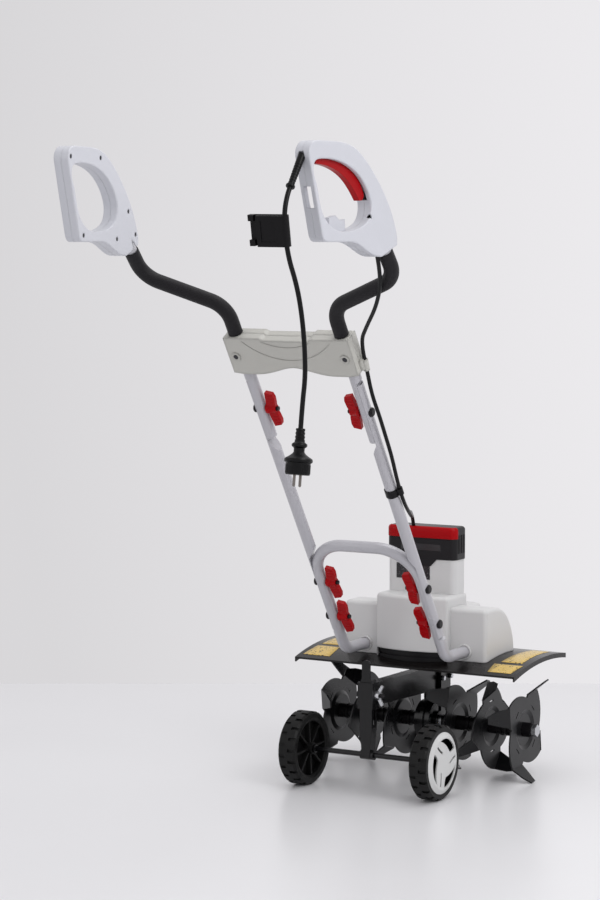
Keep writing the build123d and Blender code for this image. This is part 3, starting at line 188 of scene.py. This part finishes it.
MATERIALS = {
    "cover_grey": surface(
        "cover_plastic", (0.60, 0.60, 0.60), 0.36,
        grain=1500, grain_depth=0.00003, tone=0.03, edge=0.004),
    "cap_black": surface(
        "cap_plastic", (0.0065, 0.0055, 0.007), 0.38,
        grain=1400, grain_depth=0.00005, tone=0.2, specular=0.26),
    "red_plastic": surface(
        "red_plastic", (0.35, 0.001, 0.0035), 0.32,
        grain=1100, grain_depth=0.00003, tone=0.1, specular=0.12, edge=0.0008),
    "black_plastic": surface(
        "black_plastic", (0.0035, 0.003, 0.004), 0.42,
        grain=1200, grain_depth=0.00008, tone=0.2, specular=0.2),
    "deck_paint": surface(
        "deck_paint", (0.006, 0.005, 0.005), 0.26,
        grain=260, grain_depth=0.00004, tone=0.2, specular=0.3, dirt=(0.035, 0.033, 0.03, 0.06)),
    "tine_paint": surface(
        "tine_paint", (0.0085, 0.0085, 0.0095), 0.3,
        grain=300, grain_depth=0.00004, tone=0.15, specular=0.3, edge=0.0004,
        dirt=(0.04, 0.038, 0.036, 0.06)),
    "casting_paint": surface(
        "casting_paint", (0.003, 0.003, 0.0035), 0.2,
        grain=420, grain_depth=0.00006, tone=0.2, specular=0.34, rough_spread=0.05),
    "bright_steel": surface(
        "zinc_steel", (0.55, 0.56, 0.58), 0.28,
        metallic=1.0, grain=700, grain_depth=0.00006, tone=0.12),
    "dark_steel": surface(
        "blackened_steel", (0.05, 0.05, 0.055), 0.34,
        metallic=0.9, grain=700, grain_depth=0.00005, tone=0.15),
    "winding": surface(
        "armature", (0.30, 0.12, 0.05), 0.5,
        metallic=0.6, grain=700, grain_depth=0.0003),
    "bronze": surface(
        "bronze", (0.50, 0.34, 0.14), 0.35,
        metallic=1.0, grain=700, grain_depth=0.00005, tone=0.1),
    "tube_silver": surface(
        "tube_silver", (0.45, 0.445, 0.475), 0.34,
        metallic=0.15, grain=1100, grain_depth=0.00006, tone=0.03, coat=0.2, edge=0.0008),
    "foam": surface(
        "foam_sleeve", (0.0075, 0.0065, 0.0085), 0.6,
        grain=900, grain_depth=0.0002, tone=0.3, specular=0.26, sheen=0.04),
    "grip_grey": surface(
        "grip_plastic", (0.575, 0.585, 0.63), 0.34,
        grain=1500, grain_depth=0.00003, tone=0.02, edge=0.003),
    "brace_grey": surface(
        "brace_plastic", (0.48, 0.475, 0.44), 0.4,
        grain=1400, grain_depth=0.00004, tone=0.03, edge=0.007),
    "cord_black": surface(
        "cord_rubber", (0.0035, 0.0035, 0.004), 0.36,
        grain=1300, grain_depth=0.00006, tone=0.25, edge=0, specular=0.2),
    "tyre_black": surface(
        "tyre_rubber", (0.004, 0.004, 0.004), 0.5,
        grain=900, grain_depth=0.00015, tone=0.3, specular=0.22, dirt=(0.03, 0.028, 0.026, 0.12)),
    "cap_white": surface(
        "hubcap_plastic", (0.60, 0.605, 0.60), 0.38,
        grain=1400, grain_depth=0.00004, tone=0.03, edge=0.001),
}

for entry in frame["record"]["subparts"]:
    node = frame["nodes"][entry["node"]]
    material = MATERIALS[entry["material_slot"]]
    node.data.materials.clear()
    node.data.materials.append(material)


# ---------------------------------------------------------------- mains lead
def smooth_spline(name, places, resolution):
    """Curve along a smooth spline whose control points are the route's places."""
    curve = bpy.data.curves.new(name, "CURVE")
    curve.dimensions = "3D"
    line = curve.splines.new("NURBS")
    line.points.add(len(places) - 1)
    for point, place in zip(line.points, places):
        point.co = (*place, 1)
    line.order_u = 3
    line.use_endpoint_u = True
    line.resolution_u = resolution
    return curve


def round_cord(name, places, radius, slot):
    """Round cord along the spline of a route."""
    curve = smooth_spline(name, places, 14)
    curve.bevel_depth = radius
    curve.bevel_resolution = 8
    curve.use_fill_caps = True
    piece = bpy.data.objects.new(name, curve)
    bpy.context.scene.collection.objects.link(piece)
    curve.materials.append(MATERIALS[slot])
    return piece


LEAD_ROUTE = [
    (230.5, -928.0, 1115.0),
    (229.4, -948.0, 1085.0),
    (228.5, -934.0, 1012.0),
    (228.5, -904.0, 962.0),
    (228.5, -888.0, 915.0),
    (228.5, -879.0, 865.0),
    (228.5, -876.5, 815.0),
    (228.5, -886.0, 772.0),
    (228.5, -891.5, 732.0),
]
lead = round_cord("mains_lead", [at(*p) for p in LEAD_ROUTE], 0.004, "cord_black")
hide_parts("mains_cord")
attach(lead, "handle")


# ---------------------------------------------------------------- mesh tools
def finished(name, bm, slot, body=None, smooth=35, bevel=None):
    """Piece from a bmesh, smooth up to an angle in degrees, with its edges rounded if asked."""
    bmesh.ops.recalc_face_normals(bm, faces=bm.faces)
    mesh = bpy.data.meshes.new(name)
    bm.to_mesh(mesh)
    bm.free()
    mesh.materials.append(MATERIALS[slot])
    piece = bpy.data.objects.new(name, mesh)
    bpy.context.scene.collection.objects.link(piece)
    for polygon in mesh.polygons:
        polygon.use_smooth = True
    mesh.set_sharp_from_angle(angle=math.radians(smooth))
    if bevel:
        rounding = piece.modifiers.new("rounding", "BEVEL")
        rounding.width = bevel
        rounding.segments = 3
        rounding.limit_method = "ANGLE"
        rounding.angle_limit = math.radians(30)
    if body:
        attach(piece, body)
    return piece


def turned(bm, profile, base, way, segments=48):
    """Body of revolution: profile is (distance along way, radius) in millimetres."""
    way = Vector(way).normalized()
    across = Vector((1, 0, 0)) if abs(way.x) < 0.9 else Vector((0, 1, 0))
    side = (across - way * across.dot(way)).normalized()
    up = way.cross(side)
    rings = []
    for along, radius in profile:
        centre = base + way * (along / 1000)
        if radius == 0:
            rings.append([bm.verts.new(centre)])
            continue
        ring = []
        for index in range(segments):
            turn = 2 * math.pi * index / segments
            outward = side * math.cos(turn) + up * math.sin(turn)
            ring.append(bm.verts.new(centre + outward * (radius / 1000)))
        rings.append(ring)
    for low, high in zip(rings, rings[1:]):
        for index in range(segments):
            after = (index + 1) % segments
            corners = [low[index % len(low)], low[after % len(low)],
                       high[after % len(high)], high[index % len(high)]]
            bm.faces.new(list(dict.fromkeys(corners)))


def slab(bm, corners, thick, lift):
    """Plate from its corner points, thickened along lift by so many millimetres."""
    lift = lift.normalized() * (thick / 1000)
    low = [bm.verts.new(p) for p in corners]
    high = [bm.verts.new(p + lift) for p in corners]
    bm.faces.new(low)
    bm.faces.new(list(reversed(high)))
    for index in range(len(corners)):
        after = (index + 1) % len(corners)
        bm.faces.new([low[index], high[index], high[after], low[after]])


def spline_points(route):
    """Points read along the smooth spline of a route."""
    guide = smooth_spline("guide", route, 16)
    holder = bpy.data.objects.new("guide", guide)
    bpy.context.scene.collection.objects.link(holder)
    bpy.context.view_layer.update()
    mesh = bpy.data.meshes.new_from_object(holder)
    points = [vertex.co.copy() for vertex in mesh.vertices]
    bpy.data.objects.remove(holder)
    bpy.data.meshes.remove(mesh)
    bpy.data.curves.remove(guide)
    return points


def tube(bm, points, radius, segments=20):
    """Closed tube that follows the points without twisting."""
    side = (points[1] - points[0]).normalized().orthogonal().normalized()
    rings = []
    for index, point in enumerate(points):
        before, after = points[max(index - 1, 0)], points[min(index + 1, len(points) - 1)]
        ahead = (after - before).normalized()
        side = (side - ahead * side.dot(ahead)).normalized()
        up = ahead.cross(side)
        ring = []
        for k in range(segments):
            turn = 2 * math.pi * k / segments
            ring.append(bm.verts.new(point + (side * math.cos(turn) + up * math.sin(turn)) * radius))
        rings.append(ring)
    for low, high in zip(rings, rings[1:]):
        for k in range(segments):
            j = (k + 1) % segments
            bm.faces.new([low[k], low[j], high[j], high[k]])
    bm.faces.new(rings[0])
    bm.faces.new(rings[-1])


# ---------------------------------------------------------------- motor cable
# The route runs down from the right grip to the cap and crosses the fold between its sixth
# and ninth points, where the cable bends.
CABLE_ROUTE = [
    (253.5, -692.4, 1025.6),
    (243.0, -650.0, 974.0),
    (213.0, -609.0, 925.0),
    (163.0, -559.0, 882.0),
    (135.0, -526.0, 858.0),
    (132.0, -497.0, 802.0),
    (129.84, -476.12, 761.68),
    (132.9, -455.3, 724.9),
    (132.0, -431.0, 688.0),
    (131.0, -404.0, 647.0),
    (126.0, -374.0, 600.0),
    (124.0, -344.0, 558.0),
    (104.0, -282.0, 531.0),
    (62.0, -196.0, 517.0),
    (20.0, -122.0, 514.0),
    (-7.0, -74.0, 513.0),
    (-19.0, -38.0, 492.0),
    (-21.0, -29.0, 453.0),
]
bm = bmesh.new()
tube(bm, spline_points([at(*p) for p in CABLE_ROUTE]), 0.0035)
cable = finished("motor_cable", bm, "cord_black")
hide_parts("motor_cable_upper", "motor_cable_bend", "motor_cable_lower")
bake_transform(cable)


# ---------------------------------------------------------------- cord sleeve and plug
SLEEVE_RIBS, SLEEVE_RIB_STEP = 7, 5
PLUG_RIBS, PLUG_RIB_STEP = 3, 6
BODY_RIDGES = 40                 # fine ridges along the plug's body, but not on its front and back
PIN_OFF_AXIS = 0.0095            # m

exit_point = at(*LEAD_ROUTE[0])
down_way = (at(*LEAD_ROUTE[1]) - exit_point).normalized()
sleeve_profile = [(-62, 0), (-62, 6.2), (-46, 6.2)]
for rib in range(SLEEVE_RIBS):
    middle = -40 + rib * SLEEVE_RIB_STEP
    outer = 6.2 - rib * 0.12
    sleeve_profile += [(middle - 2.2, outer), (middle - 1.6, outer - 0.8),
                       (middle + 0.2, outer - 0.8), (middle + 0.8, outer)]
sleeve_profile += [(-4.2, 5.3), (-3.8, 7.2), (-3.2, 7.4), (-0.6, 7.4), (0, 7.0), (0, 4.1),
                   (-1.5, 4.0)]
bm = bmesh.new()
turned(bm, sleeve_profile, exit_point, down_way)
sleeve = finished("cord_sleeve", bm, "cord_black", "handle")
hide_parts("cord_boot")

plug_top = at(*LEAD_ROUTE[-1])
plug_way = (plug_top - at(*LEAD_ROUTE[-2])).normalized()
plug_profile = [(-0.2, 4.1), (-0.4, 7.2), (0.6, 7.6)]
for rib in range(PLUG_RIBS):
    middle = 5 + rib * PLUG_RIB_STEP
    wider = rib * 0.2
    plug_profile += [(middle - 2.4, 7.7 + wider), (middle - 1.8, 7.0 + wider),
                     (middle + 0.4, 7.0 + wider), (middle + 1.0, 7.8 + wider)]
plug_profile += [
    (21, 8.3), (22.5, 9.6), (24, 12.0), (25.4, 12.7), (27.2, 12.7), (28.8, 12.0), (30.2, 9.8),
    (31.5, 8.9), (37, 8.8), (39.5, 10.2), (42, 13.2), (44.5, 16.6), (46.5, 20.2), (48, 22.4),
    (49.6, 23.0), (52, 23.0), (53.6, 22.4), (54.4, 20.8), (55, 20.0), (72.5, 20.0), (73.6, 19.4),
    (74, 18.4), (74, 0),
]
bm = bmesh.new()
turned(bm, plug_profile, plug_top, plug_way, segments=64)
cross = Vector((1, 0, 0))
deep = plug_way.cross(cross).normalized()
for index in range(BODY_RIDGES):
    turn = 2 * math.pi * index / BODY_RIDGES
    outward = cross * math.cos(turn) + deep * math.sin(turn)
    if abs(outward.dot(deep)) > 0.93:
        continue
    edge = plug_way.cross(outward) * 0.0007
    foot = plug_top + plug_way * 0.0575 + outward * 0.0198
    head = foot + plug_way * 0.014
    slab(bm, [foot - edge, foot + edge, head + edge, head - edge], 0.5, outward)
plug = finished("mains_plug_body", bm, "cord_black", "handle", smooth=30)
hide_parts("mains_plug")

bm = bmesh.new()
for side in (-1, 1):
    foot = plug_top + deep * (side * PIN_OFF_AXIS)
    turned(bm, [(73.5, 0), (73.5, 2.35), (90.5, 2.4), (92, 2.1), (92.9, 1.2), (93.2, 0)],
           foot, plug_way, 24)
pins = finished("mains_plug_pins", bm, "bright_steel", "handle")
pins.data.materials[0] = surface("pin_nickel", (0.23, 0.21, 0.195), 0.3,
                                 metallic=1.0, grain=700, tone=0.1)
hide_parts("mains_plug")


# ---------------------------------------------------------------- wing knobs
BOLT_END = surface("knob_bolt_end", (0.02, 0.02, 0.02), 0.35, metallic=0.6)
KNOB_FACE = 96.6                 # mm from the middle plane to the tube's inner side
KNOB_PLACES = (("lower", -489), ("middle", -405), ("upper", 0))    # mm along the tubes
WING_THICK = 9.2
WING_RIDGES, RIDGE_HIGH = 3, 0.7
out_way = (lean(0, 1, 0) - lean(0, 0, 0)).normalized()


def wing_knob(side, place, along):
    """Red two-winged knob with a collar on the tube, ridged wings and a sunk bolt end."""
    inward = (-side, 0, 0)

    def spot(x, v, out=0.0):
        return lean(side * x, out, along + v)

    bm = bmesh.new()
    profile = [(0.0, 0), (0.0, 8.8), (1.0, 9.6), (4.5, 9.8), (6, 9.0), (7, 8.4), (17, 8.2),
               (19.5, 8.0), (20.3, 7.2), (20.3, 4.9), (17.5, 4.7), (17.5, 0)]
    turned(bm, profile, spot(KNOB_FACE, 0), inward, 32)
    for turn in (-1, 1):
        outline = [(3.4, 3), (3.6, 13), (7.2, 36.8), (21.8, 33.6), (24, 25), (22.4, 12), (20, 3)]
        corners = [spot(KNOB_FACE - x, turn * v, -WING_THICK / 2) for x, v in outline]
        slab(bm, corners, WING_THICK, out_way)
        for step in range(WING_RIDGES):
            v = 16 + step * 6.5
            shift = step * 0.6
            low = [spot(KNOB_FACE - x - shift, turn * (v + rise), 4.4)
                   for x, rise in ((7.4, 0), (19.6, -1.2), (19.8, 0.6), (7.6, 1.8))]
            slab(bm, low, RIDGE_HIGH, out_way)
            slab(bm, [p - out_way * 0.0088 for p in low], RIDGE_HIGH, -out_way)
    node = "knob_" + place
    knob = finished("wing_" + node, bm, "red_plastic", node, smooth=30, bevel=0.0013)
    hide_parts(node)
    bm = bmesh.new()
    turned(bm, [(17.2, 0), (17.2, 4.4), (19.0, 4.2), (19.6, 3.2), (19.6, 0)],
           spot(KNOB_FACE, 0), inward, 24)
    end = finished("bolt_end_" + place, bm, "black_plastic", node)
    end.data.materials[0] = BOLT_END


for side, name in ((-1, "left"), (1, "right")):
    for place, along in KNOB_PLACES:
        wing_knob(side, name + "_" + place, along)


# ---------------------------------------------------------------- tower cap
CAP_HALF = (74.5, 26.5)          # mm, half the cap's width and depth
CAP_MIDDLE_Y = -18.0
CAP_CORNER = 12.5
PLATE_THICK = 0.35


def cap_edge(outside, steps=8):
    """Plan points round the back of the cap, from its left side to its right."""
    points = []
    for side, turns in ((-1, range(steps + 1)), (1, range(steps, -1, -1))):
        for step in turns:
            turn = math.radians(90 * step / steps)
            x = CAP_HALF[0] - CAP_CORNER + (CAP_CORNER + outside) * math.cos(turn)
            y = CAP_HALF[1] - CAP_CORNER + (CAP_CORNER + outside) * math.sin(turn)
            points.append((side * x, CAP_MIDDLE_Y - y))
    return points


def cap_band():
    """Red band round the back of the cap, turned in over its top edge."""
    bm = bmesh.new()
    section = ((-1.0, 458.6), (0.5, 459.0), (0.9, 460.2), (0.9, 474.6), (0.3, 477.4),
               (-1.4, 479.8), (-4.4, 481.3), (-5.2, 480.6), (-2.6, 478.4), (-1.2, 475.0))
    rows = [[bm.verts.new(at(x, y, z)) for x, y in cap_edge(outside)] for outside, z in section]
    rows.append(rows[0])
    for low, high in zip(rows, rows[1:]):
        for index in range(len(low) - 1):
            bm.faces.new([low[index], low[index + 1], high[index + 1], high[index]])
    for end in (0, -1):
        bm.faces.new([row[end] for row in rows[:-1]])
    band = finished("cap_band", bm, "red_plastic", "chassis", smooth=40)
    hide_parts("accent_band")


def back_plate(name, y, sides, heights, slot, material):
    """Thin plate on a back face, between its sides in x and its heights."""
    (left, right), (low, high) = sides, heights
    bm = bmesh.new()
    slab(bm, [at(left, y, low), at(right, y, low), at(right, y, high), at(left, y, high)],
         PLATE_THICK, Vector((0, -1, 0)))
    plate = finished(name, bm, slot, "chassis", bevel=0.00015)
    plate.data.materials[0] = material


cap_band()
back_plate("cap_window", -43.75, (-43.6, 43.6), (434.4, 447.6), "cap_black",
           surface("window_plastic", (0.022, 0.021, 0.023), 0.18,
                   grain=900, grain_depth=0.00001, tone=0.1))


# ---------------------------------------------------------------- foot collars
# Rolled rims round the lower handle's feet, where its 22 mm tube enters the cover.
for side, name in ((-1, "left"), (1, "right")):
    bm = bmesh.new()
    turned(bm, [(-6, 11.15), (1.6, 11.15), (2.6, 11.9), (2.9, 13.2), (2.2, 14.9), (0.2, 15.4),
                (-0.4, 14.2), (-6, 13.6), (-6, 11.15)], at(side * 108, -68, 248), (0, -1, 0))
    finished("foot_collar_" + name, bm, "cover_grey", "chassis")


# ---------------------------------------------------------------- blank stickers
def sticker_material(name, color, band, scale):
    """Blank printed label: bars and blotches of a second tone, no letters."""
    material, tree, shader = node_material(name)
    marks = texture(tree, "ShaderNodeTexVoronoi", scale)
    clouds = texture(tree, "ShaderNodeTexNoise", scale * 0.4, detail=2.0)
    pick = ranged(tree, marks.outputs["Distance"], 1.0, 0.0, 0.30, 0.34)
    where = ranged(tree, clouds.outputs["Fac"], 0.0, 1.0, 0.50, 0.54)
    both = tree.nodes.new("ShaderNodeMath")
    both.operation = "MULTIPLY"
    tree.links.new(pick, both.inputs[0])
    tree.links.new(where, both.inputs[1])
    tree.links.new(blended(tree, both.outputs[0], color, band), shader.inputs["Base Color"])
    tree.links.new(ranged(tree, clouds.outputs["Fac"], 0.22, 0.34), shader.inputs["Roughness"])
    tree.links.new(bumped(tree, clouds.outputs["Fac"], 0.4, 0.0001), shader.inputs["Normal"])
    return material


YELLOW = sticker_material("yellow_label", (0.62, 0.43, 0.11), (0.02, 0.02, 0.02), 190)
DECK_TOP, DECK_RADIUS, DECK_CREST_Y = 238, 550, 30
LABEL_GAP = 0.12


def deck_height(y):
    """Height of a label's underside on the arched deck."""
    drop = DECK_RADIUS - math.sqrt(DECK_RADIUS ** 2 - (y - DECK_CREST_Y) ** 2)
    return DECK_TOP - drop + LABEL_GAP


def deck_sticker(name, corners, steps=14):
    """Thin label laid on the arched deck, from a four-cornered plan outline."""
    bm = bmesh.new()
    grid = []
    for i in range(steps + 1):
        row = []
        for j in range(5):
            s, t = i / steps, j / 4
            a = [corners[0][k] * (1 - s) + corners[3][k] * s for k in (0, 1)]
            b = [corners[1][k] * (1 - s) + corners[2][k] * s for k in (0, 1)]
            x, y = (a[k] * (1 - t) + b[k] * t for k in (0, 1))
            row.append(bm.verts.new(at(x, y, deck_height(y))))
        grid.append(row)
    for low, high in zip(grid, grid[1:]):
        for j in range(4):
            bm.faces.new([low[j], low[j + 1], high[j + 1], high[j]])
    piece = finished(name, bm, "deck_paint", "chassis")
    piece.data.materials[0] = YELLOW
    thick = piece.modifiers.new("thick", "SOLIDIFY")
    thick.thickness = 0.0003
    thick.offset = 1


deck_sticker("label_right_long", [(178, -52), (222, -52), (216, 88), (180, 88)])
deck_sticker("label_right_corner", [(176, -106), (224, -106), (230, -64), (170, -64)])
deck_sticker("label_left_long", [(-222, -40), (-182, -40), (-184, 76), (-222, 76)])
deck_sticker("label_left_corner", [(-228, -104), (-168, -104), (-174, -52), (-224, -52)])

back_plate("tower_label", -43.1, (-53, 20), (378, 408), "black_plastic",
           sticker_material("dark_label", (0.010, 0.009, 0.011), (0.16, 0.15, 0.16), 520))


# ---------------------------------------------------------------- stage
# The floor ends behind the machine, along the camera's heading, where the wall begins.
FLOOR_HALF, FLOOR_END = 9, 1.30

heading = Matrix.Rotation(AZIMUTH, 3, "Z")
mesh = bpy.data.meshes.new("floor")
floor_corners = ((-FLOOR_HALF, -FLOOR_HALF, 0), (FLOOR_HALF, -FLOOR_HALF, 0),
                 (FLOOR_HALF, FLOOR_END, 0), (-FLOOR_HALF, FLOOR_END, 0))
mesh.from_pydata([heading @ Vector(p) for p in floor_corners], [], [(0, 1, 2, 3)])
floor = bpy.data.objects.new("floor", mesh)
bpy.context.scene.collection.objects.link(floor)
floor_material, floor_tree, floor_shader = node_material("studio_floor")
floor_noise = texture(floor_tree, "ShaderNodeTexNoise", 3.0, detail=3.0).outputs["Fac"]
floor_tone = blended(floor_tree, floor_noise, (0.735, 0.735, 0.75), (0.755, 0.755, 0.77))
floor_tree.links.new(floor_tone, floor_shader.inputs["Base Color"])
floor_tree.links.new(ranged(floor_tree, floor_noise, 0.26, 0.34), floor_shader.inputs["Roughness"])
floor.data.materials.append(floor_material)

# The backdrop is brighter ahead of the machine than round its sides.
world = bpy.data.worlds.new("studio")
world.use_nodes = True
tree = world.node_tree
background = tree.nodes["Background"]
direction = tree.nodes.new("ShaderNodeTexCoord")
toward = tree.nodes.new("ShaderNodeVectorMath")
toward.operation = "DOT_PRODUCT"
toward.inputs[1].default_value = Vector((0.12, 0.99, 0.02)).normalized()
tree.links.new(direction.outputs["Generated"], toward.inputs[0])
glow = ranged(tree, toward.outputs["Value"], 0.0, 1.0, 0.72, 0.97)
tree.links.new(blended(tree, glow, (0.69, 0.68, 0.695), (0.95, 0.935, 0.96)), background.inputs["Color"])
background.inputs["Strength"].default_value = 1.0
bpy.context.scene.world = world
bpy.context.scene.view_settings.view_transform = "Standard"


def area_light(name, place, aim_at, size, power):
    """Rectangular lamp of so many watts, turned to a point."""
    light = bpy.data.lights.new(name, "AREA")
    light.shape = "RECTANGLE"
    light.size, light.size_y = size
    light.energy = power
    piece = bpy.data.objects.new(name, light)
    bpy.context.scene.collection.objects.link(piece)
    piece.location = place
    piece.rotation_euler = (Vector(aim_at) - Vector(place)).to_track_quat("-Z", "Y").to_euler()


area_light("key", (2.5, -0.9, 2.2), (0, 0, 0.6), (1.5, 1.5), 30)
area_light("top", (0.3, 0.6, 3.6), (0, 0, 0.3), (2.4, 2.4), 38)
area_light("fill", (-2.4, -3.4, 1.8), (0, 0, 0.6), (2.0, 2.0), 8)
